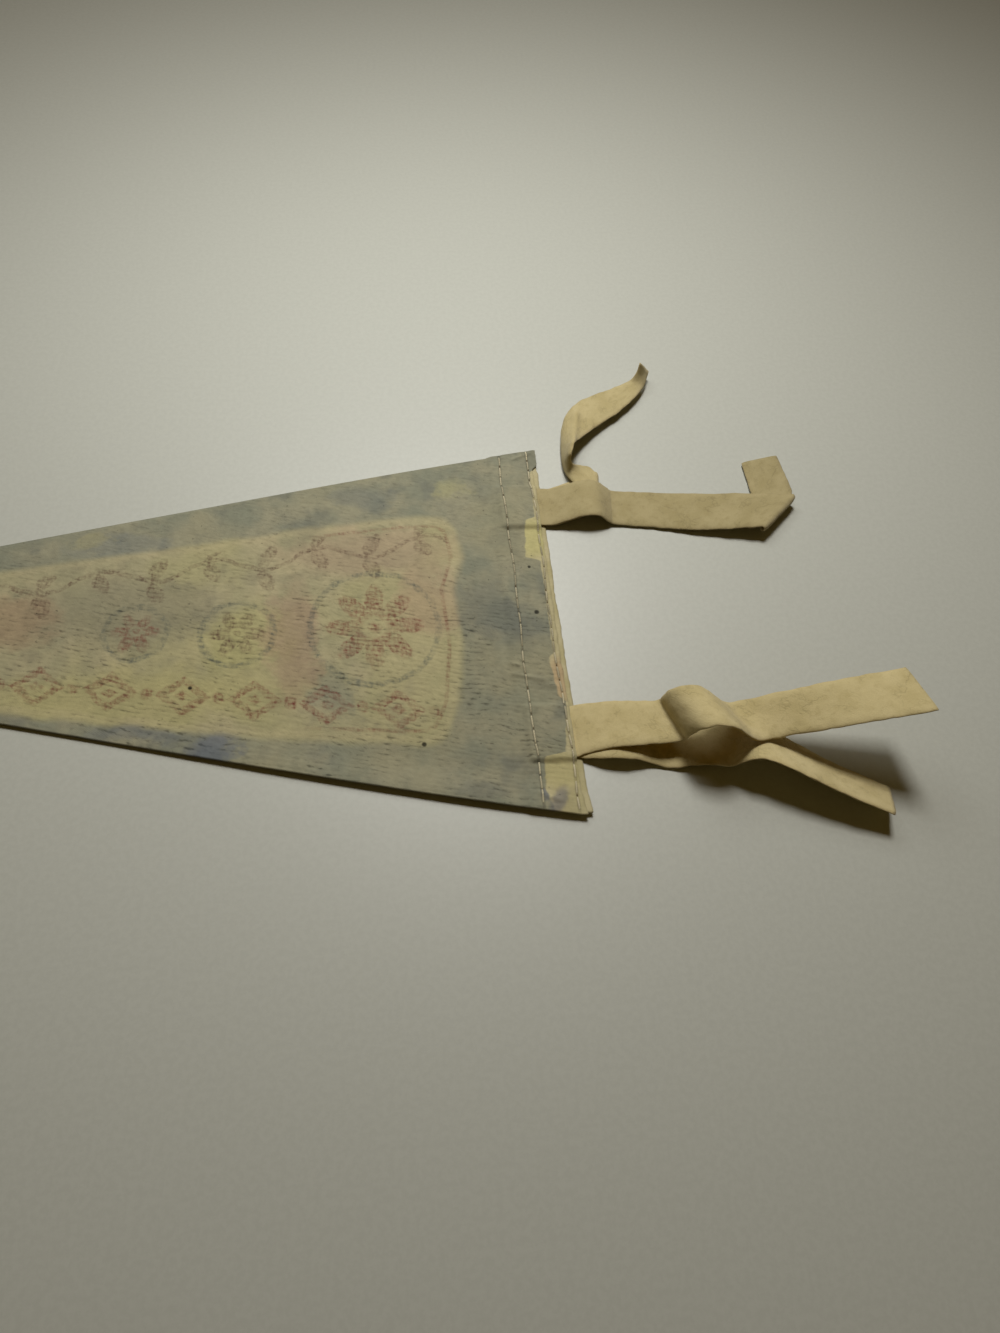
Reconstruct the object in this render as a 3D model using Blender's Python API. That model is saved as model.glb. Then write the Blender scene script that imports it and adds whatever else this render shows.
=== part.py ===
"""Souvenir pennant, 4 by 9 inches, lying with its printed side down.

The cloth is a long triangle.  Its wide end is sewn over a heading strip, whose edge shows
beyond the cloth, and two pairs of felt ties come out from between cloth and strip.

Sizes are in millimetres, in the pennant's own frame: the middle of the heading's outer
edge is the zero, +X runs from the tip to the ties, +Y runs up the heading and +Z is up.
At the end every object is shifted so that the origin is under the middle of the whole box.
"""
import math

import bmesh
import bpy
import numpy as np
from mathutils import Vector

MM = 0.001

# Cloth and felt
SHEET = 1.0             # thickness of every sheet
GAP = 0.3               # clearance between two pieces
LAYER = SHEET + GAP     # one sheet and the clearance over it

# Pennant outline
LENGTH = 226.0          # tip to heading
HEADING_TOP = 50.5      # upper corner above the middle line
HEADING_BOTTOM = -49.7  # lower corner below it
HEADING_LEAN = 1.85     # the upper corner lies this far back, the lower one as far out
TIP_Y = -0.8            # the tip lies a little below the middle line
TIP_HALF_WIDTH = 1.0    # and is cut blunt
BELLY = 8.5             # how much both long edges belly out towards the heading
STRIP_SHOWS = 1.4       # heading strip that shows beyond the cloth's cut edge
STRIP_WIDTH = 12.0
STRIP_SHORTER = 0.5     # the strip ends this far inside the long edges
STRIP_WAVER = 0.4       # its cut edges dip in by this much between the corners
STRIP_DIPS = 5
STRIP_ROWS = 20

# How the cloth lies
CURL_HEIGHT = 1.5       # lift of the lower long edge at the heading
CURL_SHARE = 0.11       # and the share of the cloth's width that it takes
RAMP = 4.0              # length over which the cloth climbs onto what is under it
LEAN_LENGTH = 30.0      # the cloth's cross lines turn to the heading's lean over this length

# Ties: the ends that are sewn in, and the heights of the two layers' middle surfaces
TIE_WIDTH = 11.8
ROOT_DEPTH = 10.5       # how far the roots reach in from the heading's edge
UPPER_TIE_Y = 30.9      # middle of the upper pair of roots
LOWER_TIE_Y = -31.0     # middle of the lower pair
UNDER_Z = SHEET + GAP + SHEET / 2
OVER_Z = UNDER_Z + LAYER

# Resolution
CLOTH_STATIONS = 6      # cross lines of the flat cloth, and of the part near the heading
HEADING_STATIONS = 16
CLOTH_COLUMNS = 15
BUMP_COLUMNS = 15       # points across the rise over each pair of roots
CURL_COLUMNS = 6
CLOSEST_SHARE = 0.011   # points nearer than this share of the width are left out
RIBBON_STEP = 2.0       # spacing of a ribbon's cross lines
RIBBON_COLUMNS = 4
FOLD_STEPS = 8

# Ties are given by cross lines from the near edge (towards -Y) to the far edge, as the
# middle surface of the felt: near x, y, z and far x, y, z.  A second table continues the
# ribbon after a flat fold along the line where the first one ends.
LOWER_OVER = [[
    # near x, y,    z,    far x, y,    z
    (1.5, -36.7, 3.6, 1.2, -24.9, 3.4),      # leaves the heading
    (6.8, -36.3, 4.7, 6.5, -25.2, 4.3),
    (14.4, -36.3, 5.2, 12.6, -25.7, 4.8),
    (20.4, -36.1, 5.2, 16.8, -26.0, 5.1),
    (23.0, -36.3, 6.6, 18.9, -26.1, 6.4),    # foot of the hump
    (23.9, -36.5, 10.0, 19.1, -26.2, 9.6),
    (25.2, -36.5, 12.6, 20.0, -26.4, 12.4),
    (27.6, -36.3, 13.8, 22.4, -26.8, 13.8),  # crest
    (30.6, -36.4, 13.0, 25.6, -27.0, 13.4),
    (34.2, -36.7, 10.2, 29.4, -27.2, 11.0),
    (37.4, -36.9, 7.9, 33.2, -27.4, 8.8),    # valley
    (41.0, -36.8, 7.6, 38.0, -27.3, 9.2),
    (46.0, -36.9, 9.8, 44.4, -27.0, 11.0),
    (54.0, -37.3, 14.0, 52.5, -26.9, 13.6),
    (69.6, -37.4, 21.0, 67.8, -26.2, 18.0),  # cut end
]]
LOWER_UNDER = [[
    (1.5, -37.4, 2.1, 1.2, -25.5, 1.9),
    (7.3, -38.3, 3.6, 7.5, -26.6, 2.9),
    (12.6, -38.7, 2.9, 12.8, -27.2, 2.2),
    (16.2, -39.2, 1.3, 16.2, -27.6, 1.0),
    (20.4, -39.7, 0.55, 20.2, -28.2, 0.55),  # touches the ground
    (25.6, -39.2, 1.9, 26.0, -28.2, 1.0),
    (29.6, -39.4, 2.4, 30.2, -28.6, 1.2),
    (33.2, -40.2, 2.1, 34.6, -29.4, 1.2),
    (37.2, -40.3, 5.4, 39.8, -30.4, 2.4),    # rises and turns
    (40.0, -41.6, 7.2, 43.2, -32.4, 2.7),
    (44.1, -44.0, 7.6, 47.6, -35.5, 2.1),
    (52.8, -48.9, 7.0, 56.6, -41.0, 1.4),
    (63.4, -54.0, 6.2, 67.0, -46.4, 1.0),    # cut end
]]
UPPER_OVER = [[
    (1.5, 24.8, 3.4, 1.5, 36.3, 3.4),
    (5.0, 25.1, 4.2, 5.0, 36.6, 4.2),
    (9.2, 25.2, 4.9, 9.2, 36.8, 4.7),        # crest of the low hump
    (12.3, 25.2, 4.2, 12.6, 36.6, 4.2),
    (14.9, 25.1, 2.0, 15.4, 36.2, 2.2),
    (17.4, 25.0, 0.8, 18.2, 36.0, 0.8),      # lies flat
    (28.8, 23.8, 0.8, 29.6, 35.3, 0.7),
    (38.0, 22.4, 1.7, 40.0, 34.4, 1.3),
    (45.2, 21.7, 2.8, 50.6, 33.3, 2.5),
    (51.8, 21.0, 4.1, 62.7, 31.7, 3.5),      # slanting fold
], [
    (51.8, 21.0, 2.6, 62.7, 31.7, 2.0),
    (52.8, 28.0, 1.5, 63.8, 35.2, 1.3),
    (53.4, 36.5, 0.8, 64.2, 41.5, 0.9),
    (53.8, 45.1, 0.7, 64.2, 47.4, 0.7),      # cut end
]]
UPPER_UNDER = [[
    (1.5, 25.2, 1.8, 1.0, 37.0, 1.8),
    (5.0, 26.4, 1.3, 3.2, 38.2, 1.3),
    (9.0, 28.2, 0.7, 8.2, 40.4, 0.8),
    (11.8, 30.2, 0.55, 13.2, 41.6, 0.55),    # fold hidden under the other strip
], [
    (11.8, 30.2, 2.05, 13.2, 41.6, 2.05),
    (9.6, 33.4, 2.2, 11.8, 43.2, 2.1),
    (7.4, 37.4, 2.3, 9.4, 43.6, 2.5),
    (6.0, 41.0, 1.7, 7.2, 42.6, 4.6),        # pinched, and twisting up on edge
    (5.4, 45.4, 1.1, 6.2, 42.4, 8.0),
    (5.4, 50.8, 1.6, 7.0, 44.6, 8.4),
    (6.0, 56.6, 2.2, 8.2, 47.4, 6.4),
    (7.6, 61.6, 2.4, 9.4, 50.2, 4.6),        # and down again, turning right
    (9.8, 65.2, 1.8, 13.0, 54.4, 3.7),
    (12.6, 67.4, 1.5, 18.2, 59.0, 2.6),
    (15.8, 69.0, 1.8, 22.3, 62.9, 2.0),
    (19.6, 70.4, 2.8, 25.7, 66.9, 1.6),
    (23.6, 71.2, 4.8, 28.8, 71.3, 1.4),
    (26.6, 71.9, 7.0, 31.1, 75.4, 1.2),
    (28.6, 74.2, 8.8, 32.8, 79.6, 1.1),      # the end stands on edge
]]


def start_clean():
    """Remove the objects that the file opened with."""
    for thing in list(bpy.data.objects):
        bpy.data.objects.remove(thing, do_unlink=True)


def material(name, colour, roughness):
    """A plain material in the part's own colour."""
    made = bpy.data.materials.new(name)
    made.use_nodes = True
    shader = made.node_tree.nodes["Principled BSDF"]
    shader.inputs["Base Color"].default_value = (*colour, 1.0)
    shader.inputs["Roughness"].default_value = roughness
    shader.inputs["Metallic"].default_value = 0.0
    return made


def smooth(value):
    """Smooth step from 0 to 1."""
    value = min(max(value, 0.0), 1.0)
    return value * value * (3.0 - 2.0 * value)


def rise(value):
    """From 0 to 1, starting at a crease and levelling off."""
    return math.sin(math.pi / 2 * min(max(value, 0.0), 1.0))


# ---------------------------------------------------------------- outline of the pennant

def heading_x(y):
    """X of the heading's outer edge at the height y."""
    middle = (HEADING_TOP + HEADING_BOTTOM) / 2
    half = (HEADING_TOP - HEADING_BOTTOM) / 2
    return -HEADING_LEAN * (y - middle) / half


def belly(share):
    """Bulge of a long edge at a share of the way from the tip to the heading."""
    return BELLY * share ** 3 * (1.0 - share)


def upper_edge(x):
    """Y of the upper long edge."""
    share = min((x + LENGTH) / LENGTH, 1.0)
    tip = TIP_Y + TIP_HALF_WIDTH
    return tip + (HEADING_TOP - tip) * share + belly(share)


def lower_edge(x):
    """Y of the lower long edge."""
    share = min((x + LENGTH) / LENGTH, 1.0)
    tip = TIP_Y - TIP_HALF_WIDTH
    return tip + (HEADING_BOTTOM - tip) * share - belly(share)


# ---------------------------------------------------------------- meshes

def add_mesh(name, grid_top, grid_bottom, look):
    """Closed sheet from its two faces, given as equal grids of points [row][column]."""
    rows = len(grid_top)
    columns = len(grid_top[0])
    mesh = bmesh.new()
    top = [[mesh.verts.new(point) for point in row] for row in grid_top]
    bottom = [[mesh.verts.new(point) for point in row] for row in grid_bottom]
    for i in range(rows - 1):
        for j in range(columns - 1):
            mesh.faces.new((top[i][j], top[i + 1][j], top[i + 1][j + 1], top[i][j + 1]))
            mesh.faces.new((bottom[i][j], bottom[i][j + 1], bottom[i + 1][j + 1], bottom[i + 1][j]))
    for i in range(rows - 1):
        mesh.faces.new((bottom[i][0], bottom[i + 1][0], top[i + 1][0], top[i][0]))
        mesh.faces.new((top[i][-1], top[i + 1][-1], bottom[i + 1][-1], bottom[i][-1]))
    for j in range(columns - 1):
        mesh.faces.new((top[0][j], top[0][j + 1], bottom[0][j + 1], bottom[0][j]))
        mesh.faces.new((bottom[-1][j], bottom[-1][j + 1], top[-1][j + 1], top[-1][j]))
    bmesh.ops.recalc_face_normals(mesh, faces=mesh.faces)
    data = bpy.data.meshes.new(name)
    mesh.to_mesh(data)
    mesh.free()
    data.materials.append(look)
    made = bpy.data.objects.new(name, data)
    bpy.context.scene.collection.objects.link(made)
    return made


def thicken(grid, thickness):
    """The two faces of a sheet whose middle surface is the grid."""
    points = np.array(grid)
    along = np.gradient(points, axis=0)
    across = np.gradient(points, axis=1)
    normal = np.cross(along, across)
    normal /= np.linalg.norm(normal, axis=2, keepdims=True)
    half = normal * thickness / 2
    return (points + half) * MM, (points - half) * MM


# ---------------------------------------------------------------- pennant and heading strip

def over_tie(station, y, tie_y):
    """1 where the cloth lies over a pair of roots, 0 beside them."""
    beside = smooth((TIE_WIDTH / 2 + RAMP - abs(y - tie_y)) / (RAMP - 1.0))
    behind = smooth((station + ROOT_DEPTH + RAMP + 1.0) / RAMP)
    return beside * behind


def across(station, share):
    """Y of the cloth at a share of its width."""
    return lower_edge(station) + (upper_edge(station) - lower_edge(station)) * share


def cloth_underside(station, share):
    """Height of the cloth's underside over the ground, a distance behind the heading's edge."""
    climb = rise((station + STRIP_WIDTH + RAMP) / (RAMP - 0.5))
    height = LAYER * climb
    for tie_y in (UPPER_TIE_Y, LOWER_TIE_Y):
        height += 2 * LAYER * over_tie(station, across(station, share), tie_y)
    curl = rise(1.0 - share / CURL_SHARE) * rise(1.0 + station / LENGTH)
    return height + CURL_HEIGHT * curl * (1.0 - climb)


def across_shares():
    """Shares of the cloth's width at which it has a line of points."""
    others = list(np.linspace(0.0, 1.0, CLOTH_COLUMNS))
    for tie_y in (UPPER_TIE_Y, LOWER_TIE_Y):
        reach = TIE_WIDTH / 2 + RAMP
        for y in np.linspace(tie_y - reach, tie_y + reach, BUMP_COLUMNS):
            others.append((y - HEADING_BOTTOM) / (HEADING_TOP - HEADING_BOTTOM))
    chosen = list(np.linspace(0.0, CURL_SHARE, CURL_COLUMNS))
    for share in sorted(others):
        if share - chosen[-1] > CLOSEST_SHARE:
            chosen.append(float(share))
    chosen[-1] = 1.0
    return chosen


def pennant_cloth(look):
    """The triangle, flat but for its lower edge and for what it covers at the heading."""
    flat_end = -(STRIP_WIDTH + RAMP)
    stations = list(np.linspace(-LENGTH, flat_end, CLOTH_STATIONS))
    stations += list(np.linspace(flat_end, -STRIP_SHOWS, HEADING_STATIONS))[1:]
    top = []
    bottom = []
    for station in stations:
        upper_row = []
        lower_row = []
        lean = smooth((station - flat_end + LEAN_LENGTH) / LEAN_LENGTH)
        for share in across_shares():
            y = across(station, share)
            x = station + heading_x(y) * lean
            z = cloth_underside(station, share)
            lower_row.append(Vector((x, y, z)) * MM)
            upper_row.append(Vector((x, y, z + SHEET)) * MM)
        top.append(upper_row)
        bottom.append(lower_row)
    return add_mesh("pennant_cloth", top, bottom, look)


def heading_strip(look):
    """The strip that the heading is sewn to, cut a little unevenly."""
    top = []
    bottom = []
    for i in range(STRIP_ROWS + 1):
        turn = math.pi * i / STRIP_ROWS
        inner = -STRIP_WIDTH + STRIP_WAVER * math.sin((STRIP_DIPS - 1) * turn) ** 2
        outer = -STRIP_WAVER * math.sin(STRIP_DIPS * turn) ** 2
        under = []
        for edge in (inner, outer):
            low = lower_edge(edge) + STRIP_SHORTER
            high = upper_edge(edge) - STRIP_SHORTER
            y = low + (high - low) * i / STRIP_ROWS
            under.append(Vector((heading_x(y) + edge, y, 0.0)) * MM)
        bottom.append(under)
        top.append([point + Vector((0.0, 0.0, SHEET * MM)) for point in under])
    return add_mesh("heading_strip", top, bottom, look)


# ---------------------------------------------------------------- ties

def root_rows(tie_y, height):
    """The straight stretch of a tie that is sewn into the heading."""
    near = tie_y - TIE_WIDTH / 2
    far = tie_y + TIE_WIDTH / 2
    rows = []
    for depth in (ROOT_DEPTH, ROOT_DEPTH / 2, 1.0):
        near_x = heading_x(near) - depth
        far_x = heading_x(far) - depth
        rows.append((near_x, near, height, far_x, far, height))
    return rows


def through(rows):
    """Cross lines along a smooth curve through the given ones."""
    table = np.array(rows, float)
    ends = np.vstack([2 * table[0] - table[1], table, 2 * table[-1] - table[-2]])
    out = [table[0]]
    for i in range(len(table) - 1):
        p0, p1, p2, p3 = ends[i:i + 4]
        middle_gap = np.linalg.norm((p2 - p1)[:3] + (p2 - p1)[3:]) / 2
        steps = max(2, round(middle_gap / RIBBON_STEP))
        for k in range(1, steps + 1):
            t = k / steps
            curve = 2 * p1 + (p2 - p0) * t
            curve = curve + (2 * p0 - 5 * p1 + 4 * p2 - p3) * t ** 2
            curve = curve + (3 * p1 - p0 - 3 * p2 + p3) * t ** 3
            out.append(curve / 2)
    return out


def fold_rows(before, last, first):
    """Half a turn round the fold line, from the last cross line to the next layer's first."""
    line = last[3:5] - last[0:2]
    outward = np.array((line[1], -line[0])) / np.linalg.norm(line)
    travel = (last[0:2] + last[3:5]) - (before[0:2] + before[3:5])
    if np.dot(outward, travel) < 0:
        outward = -outward
    rows = []
    for k in range(1, FOLD_STEPS):
        angle = math.pi * k / FOLD_STEPS
        share = (1 - math.cos(angle)) / 2
        row = last + (first - last) * share
        for at in (0, 3):
            radius = abs(first[at + 2] - last[at + 2]) / 2
            row[at:at + 2] = last[at:at + 2] + outward * radius * math.sin(angle)
        rows.append(row)
    return rows


def tie(name, tables, tie_y, height, look):
    """A felt strip from its sewn root to its cut end."""
    rows = through(root_rows(tie_y, height) + tables[0])
    for table in tables[1:]:
        following = through(table)
        rows += fold_rows(rows[-2], rows[-1], following[0]) + following
    grid = []
    for row in rows:
        near = row[:3]
        far = row[3:]
        grid.append([near + (far - near) * j / RIBBON_COLUMNS for j in range(RIBBON_COLUMNS + 1)])
    top, bottom = thicken(grid, SHEET)
    return add_mesh(name, top, bottom, look)


# ---------------------------------------------------------------- assembly

def centre(pieces):
    """Put the origin under the middle of the box round all the pieces."""
    points = np.array([corner.co[:] for piece in pieces for corner in piece.data.vertices])
    low = points.min(axis=0)
    high = points.max(axis=0)
    shift = Vector((-(low[0] + high[0]) / 2, -(low[1] + high[1]) / 2, -low[2]))
    for piece in pieces:
        piece.location = shift


def main():
    start_clean()
    faded_cloth = material("faded_cloth", (0.36, 0.35, 0.26), 0.9)
    heading_cloth = material("heading_cloth", (0.55, 0.47, 0.28), 0.9)
    felt = material("cream_felt", (0.62, 0.52, 0.33), 0.95)
    pieces = [
        pennant_cloth(faded_cloth),
        heading_strip(heading_cloth),
        tie("tie_upper_over", UPPER_OVER, UPPER_TIE_Y, OVER_Z, felt),
        tie("tie_upper_under", UPPER_UNDER, UPPER_TIE_Y, UNDER_Z, felt),
        tie("tie_lower_over", LOWER_OVER, LOWER_TIE_Y, OVER_Z, felt),
        tie("tie_lower_under", LOWER_UNDER, LOWER_TIE_Y, UNDER_Z, felt),
    ]
    centre(pieces)


main()
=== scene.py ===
"""Looks of the souvenir pennant: faded printed cloth, heading strip, felt ties and stitching.

Sizes are in millimetres in the pennant's own frame, as in the part's source: the middle of
the heading's outer edge is the zero, +X runs from the tip to the ties, +Y runs up the
heading and +Z is up.  place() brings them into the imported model's frame.
"""
import math

import bpy
import numpy as np
from mathutils import Euler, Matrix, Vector, noise


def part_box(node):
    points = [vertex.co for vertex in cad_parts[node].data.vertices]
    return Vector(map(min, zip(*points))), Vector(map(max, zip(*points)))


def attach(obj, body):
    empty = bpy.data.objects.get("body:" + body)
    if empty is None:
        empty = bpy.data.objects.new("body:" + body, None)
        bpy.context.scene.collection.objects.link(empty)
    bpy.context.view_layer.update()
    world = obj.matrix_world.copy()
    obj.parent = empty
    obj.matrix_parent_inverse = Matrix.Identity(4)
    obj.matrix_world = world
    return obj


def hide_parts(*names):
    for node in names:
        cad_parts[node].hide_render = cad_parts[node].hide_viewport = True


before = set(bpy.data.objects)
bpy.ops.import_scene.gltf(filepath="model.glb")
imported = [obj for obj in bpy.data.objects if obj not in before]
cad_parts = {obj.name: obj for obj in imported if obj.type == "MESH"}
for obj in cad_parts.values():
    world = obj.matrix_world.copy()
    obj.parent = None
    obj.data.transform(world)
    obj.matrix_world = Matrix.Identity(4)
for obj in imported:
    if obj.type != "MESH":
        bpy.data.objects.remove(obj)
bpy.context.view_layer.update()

MM = 0.001

# ---- sizes shared with the solids
LENGTH = 226.0
HEADING_TOP = 50.5
HEADING_BOTTOM = -49.7
HEADING_LEAN = 1.85
TIP_Y = -0.8
TIP_HALF_WIDTH = 1.0
BELLY = 8.5
STRIP_SHOWS = 1.4
TOP_COVER = 42.6
STRIP_WIDTH = 12.0
STRIP_SHORTER = 0.5
TIE_WIDTH = 11.8
ROOT_DEPTH = 10.5
UPPER_TIE_Y = 30.9
LOWER_TIE_Y = -31.0
SOLID_UNDER_Z = 1.8     # heights of the roots in the solids, whose sheets are thicker
SOLID_OVER_Z = 3.1

# ---- real thicknesses
GROUND = 0.12           # room for the threads under the strip
STRIP_THICK = 0.5
CLOTH_THICK = 0.45
FELT_THICK = 0.95
ROOT_THICK = 0.36       # felt is pressed where it is sewn in
UNDER_Z = GROUND + STRIP_THICK + 0.05 + ROOT_THICK / 2
OVER_Z = UNDER_Z + ROOT_THICK + 0.05

# ---- how the cloth lies
STRIP_RAMP = 1.5        # the cloth climbs onto the strip over this length
ROOT_RAMP = 1.4         # and onto the roots over this one
CURL_WIDTH = 9.0        # width of the lower long edge that lifts off the table
WAVES = 0.35            # height of the shallow unevenness of the cloth
RIB_PITCH = 1.18
RIB_SWAY = 0.6          # the ribs wander by this much
RIB_HEIGHT = 0.03
ROWS_PER_RIB = 4
NEAR_COLUMNS = 34       # columns of the first stretch behind the heading, then of the rest
FAR_COLUMNS = 62
NEAR_REACH = 20.0
NEAR_SHARE = 0.5        # a row shorter than NEAR_REACH / NEAR_SHARE is divided by shares
CORNER_REACH = 7.0      # the lower corner's edges bend outwards over this height
WEAVE_PITCH = 0.42      # of the single threads, in the materials alone

# ---- stitching
INNER_ROW = 9.8         # distance of the two rows of stitches behind the heading's edge
OUTER_ROW = 2.4
STITCH_PITCH = 3.4
STITCH_LENGTH = 2.75
THREAD_RADIUS = 0.19
ROW_MARGIN = 0.9        # each row starts and ends this far from the long edges
SIDES = 8               # of a thread and of a needle hole

# ---- camera, in the pennant's frame
CAMERA_PLACE = (-27.857, -92.1, 151.983)
CAMERA_TURN = (27.354, -3.073, -3.478)
CAMERA_LENS = 20.282

# Lift of the lower long edge: distance behind the heading, and height
EDGE_LIFT = (
    (0.0, 0.7), (10.0, 0.9), (24.0, 1.3), (45.0, 1.2),
    (70.0, 0.8), (100.0, 0.45), (150.0, 0.2), (LENGTH, 0.0),
)

# Where the print stops beside the heading: height along the heading, distance behind its edge
PRINT_EDGE = (
    (-49.7, 7.2), (-44.0, 8.8), (-36.8, 8.2), (-36.0, 3.6), (-34.9, 3.4), (-23.6, 1.8), (-22.4, 3.2),
    (-12.8, 4.2), (-11.6, 3.0), (-2.1, 2.9), (9.2, 2.7), (14.4, 2.9), (15.4, 6.4), (26.2, 5.2),
    (27.0, 2.8), (42.6, 2.2), (43.8, -1.0), (50.5, -1.0),
)

# Outline of the printed field: x and y of its long sides; at its end by the heading, the
# height along the heading and the distance behind its edge
FIELD_TOP = ((-205.0, 2.0), (-130.0, 14.0), (-62.0, 25.4), (-38.0, 28.2), (0.0, 29.5))
FIELD_BOTTOM = ((-205.0, -3.8), (-150.0, -15.4), (-121.5, -22.6), (-62.9, -30.5), (0.0, -35.0))
FIELD_END = (
    (-35.0, 30.5), (-31.0, 28.4), (-22.4, 25.2), (-8.0, 23.5),
    (6.8, 24.5), (16.1, 21.6), (24.0, 22.6), (30.0, 25.5),
)

# Ties: cross lines from the near edge to the far edge, as the felt's middle surface: near
# x, y, z and far x, y, z.  A seventh value lifts the near point along its line to the camera.
# A second table continues the ribbon after a flat fold.
LOWER_OVER = [[
    (1.5, -36.7, 3.6, 1.2, -24.9, 3.4),
    (6.8, -36.3, 4.7, 6.5, -25.2, 4.3),
    (14.4, -36.3, 5.2, 12.6, -25.7, 4.8),
    (20.6, -36.0, 5.3, 17.0, -26.0, 4.9),
    (22.9, -35.8, 6.3, 18.9, -26.1, 5.6),
    (22.9, -36.0, 8.6, 19.1, -26.1, 7.8),
    (23.8, -36.1, 10.9, 19.7, -26.1, 10.2, 0.8),
    (25.3, -36.1, 12.4, 21.2, -26.1, 12.0, 1.8),
    (27.6, -35.8, 13.0, 23.4, -26.2, 12.8, 2.5),
    (30.1, -36.0, 12.9, 25.2, -26.4, 12.7, 2.8),
    (32.5, -36.4, 12.0, 27.0, -26.7, 11.6, 2.6),
    (34.8, -36.8, 10.0, 29.7, -27.2, 9.0, 2.6),
    (37.5, -37.1, 7.6, 32.8, -27.6, 6.4, 1.6),
    (40.6, -37.1, 7.6, 36.6, -27.6, 7.2),
    (46.0, -36.9, 9.8, 44.4, -27.2, 10.4),
    (54.0, -37.3, 14.0, 52.5, -26.9, 13.4),
    (69.6, -37.4, 21.0, 67.8, -26.2, 18.0),
]]
LOWER_UNDER = [[
    (1.5, -37.4, 2.1, 1.2, -25.5, 1.9),
    (7.3, -38.3, 3.6, 7.5, -26.6, 2.9),
    (12.6, -38.7, 2.9, 12.8, -27.2, 2.2),
    (16.2, -39.2, 1.3, 16.2, -27.6, 1.0),
    (20.4, -40.2, 0.7, 20.2, -28.6, 0.55),
    (25.4, -40.2, 2.1, 26.0, -28.8, 1.0),
    (29.4, -40.4, 2.5, 30.2, -29.2, 1.2),
    (33.2, -40.7, 2.2, 34.6, -29.8, 1.2, 2.4),
    (37.2, -40.5, 5.4, 39.8, -30.6, 2.4, 3.2),
    (40.0, -41.6, 7.2, 43.2, -32.4, 2.7, 2.0),
    (44.1, -44.0, 7.6, 47.6, -35.5, 2.1, 1.6),
    (52.8, -48.9, 7.0, 56.6, -41.0, 1.4, 0.6),
    (63.4, -54.0, 6.2, 67.0, -46.4, 1.0, -0.7),
]]
UPPER_OVER = [[
    (1.5, 24.8, 3.4, 1.5, 36.3, 3.4),
    (5.0, 25.1, 4.2, 5.0, 36.6, 4.2),
    (9.2, 25.2, 4.9, 9.2, 36.8, 4.7),
    (12.3, 25.2, 4.2, 12.6, 36.6, 4.2),
    (14.9, 25.1, 2.0, 15.4, 36.2, 2.2),
    (17.4, 25.0, 0.8, 18.2, 36.0, 0.8),
    (28.8, 23.8, 0.8, 29.6, 35.3, 0.7),
    (38.0, 22.4, 1.7, 40.0, 34.4, 1.3),
    (45.8, 21.7, 2.8, 51.2, 33.3, 2.5),
    (53.3, 21.3, 4.1, 64.2, 32.0, 3.5),
], [
    (53.3, 21.3, 2.6, 64.2, 32.0, 2.0),
    (54.6, 28.0, 1.5, 65.4, 35.2, 1.3),
    (54.3, 36.5, 0.8, 65.1, 41.5, 0.9),
    (54.0, 45.1, 0.7, 64.5, 47.6, 0.7),
]]
UPPER_UNDER = [[
    (1.5, 25.2, 1.8, 1.0, 37.0, 1.8),
    (5.0, 26.4, 1.3, 3.2, 38.2, 1.3),
    (9.0, 28.2, 0.7, 8.2, 40.4, 0.8),
    (11.8, 30.2, 0.55, 13.2, 41.6, 0.55),
], [
    (11.8, 30.2, 2.05, 13.2, 41.6, 2.05),
    (9.6, 33.4, 2.2, 11.8, 43.2, 2.1),
    (7.4, 37.4, 2.3, 9.4, 43.6, 2.5),
    (6.0, 41.0, 1.7, 7.2, 42.6, 4.6),
    (5.4, 45.4, 1.1, 6.2, 42.4, 8.0),
    (5.4, 50.8, 1.6, 7.0, 44.6, 8.4),
    (6.0, 56.6, 2.2, 8.2, 47.4, 6.4),
    (7.6, 61.6, 2.4, 9.4, 50.2, 4.6),
    (10.8, 65.8, 2.4, 14.2, 55.4, 3.0),
    (15.4, 68.8, 2.1, 18.4, 59.2, 2.5),
    (19.6, 70.8, 2.0, 22.3, 62.3, 2.4),
    (24.3, 73.0, 2.2, 26.9, 67.0, 2.4),
    (27.3, 74.0, 3.2, 29.4, 70.2, 2.1),
    (28.4, 74.3, 5.4, 31.2, 73.2, 1.7),
    (29.0, 75.0, 8.2, 33.0, 78.0, 2.2),
]]


# ==== frame and outline

def smooth(value):
    """Smooth step from 0 to 1, for numbers and arrays."""
    value = np.clip(value, 0.0, 1.0)
    return value * value * (3.0 - 2.0 * value)


def heading_x(y):
    """X of the heading's outer edge at the height y."""
    middle = (HEADING_TOP + HEADING_BOTTOM) / 2
    half = (HEADING_TOP - HEADING_BOTTOM) / 2
    return -HEADING_LEAN * (y - middle) / half


def along_share(x):
    return np.minimum((x + LENGTH) / LENGTH, 1.0)


def upper_edge(x):
    share = along_share(x)
    tip = TIP_Y + TIP_HALF_WIDTH
    return tip + (HEADING_TOP - tip) * share + BELLY * share ** 3 * (1.0 - share)


def lower_edge(x):
    share = along_share(x)
    tip = TIP_Y - TIP_HALF_WIDTH
    return tip + (HEADING_BOTTOM - tip) * share - BELLY * share ** 3 * (1.0 - share)


EDGE_SLOPE = math.atan2(TIP_Y - TIP_HALF_WIDTH - HEADING_BOTTOM, LENGTH)
CLOTH_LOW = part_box("pennant_cloth")[0] / MM
SHIFT = np.array((CLOTH_LOW.x + LENGTH, CLOTH_LOW.y - lower_edge(-STRIP_SHOWS), 0.0))


def place(points):
    """Millimetres in the pennant's frame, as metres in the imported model's frame."""
    return (np.asarray(points, float) + SHIFT) * MM


def wander(values, seed, scale):
    """Smooth unevenness between about -1 and 1 along a list of numbers."""
    return np.array([noise.noise(Vector((value / scale, seed, 0.5))) for value in values]) * 2


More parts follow.
